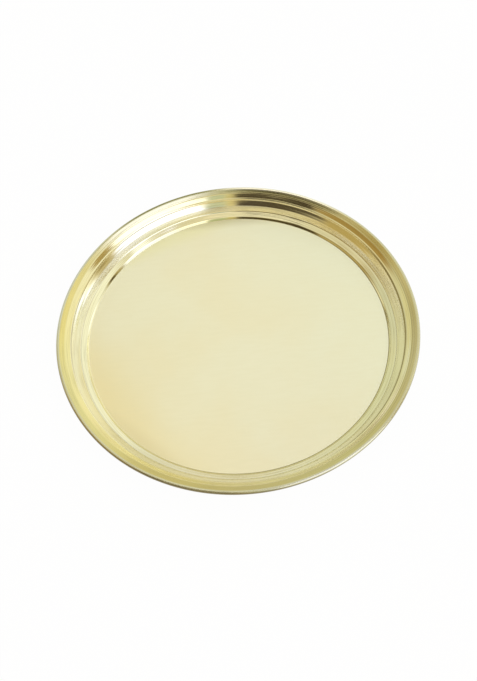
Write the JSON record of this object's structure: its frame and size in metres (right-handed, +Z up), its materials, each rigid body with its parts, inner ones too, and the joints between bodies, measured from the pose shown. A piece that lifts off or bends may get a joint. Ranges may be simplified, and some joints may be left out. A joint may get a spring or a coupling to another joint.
{
  "type": "thali plate",
  "caption": "Round flat-floored brass dining plate with a low stepped, flared wall and a rim curled round a wire.",
  "frame": {"origin": "on the resting surface, under the middle of the floor", "axes": "+Z up along the plate's axis of turning; X and Y lie in the resting plane and are free"},
  "size_m": [0.28, 0.28, 0.0192],
  "materials": {
    "plate_brass": "polished, lathe-turned",
    "wire_brass": "drawn, dull"
  },
  "bodies": {
    "root": {"plate_body": "plate_brass", "rim_wire": "wire_brass"}
  },
  "joints": []
}
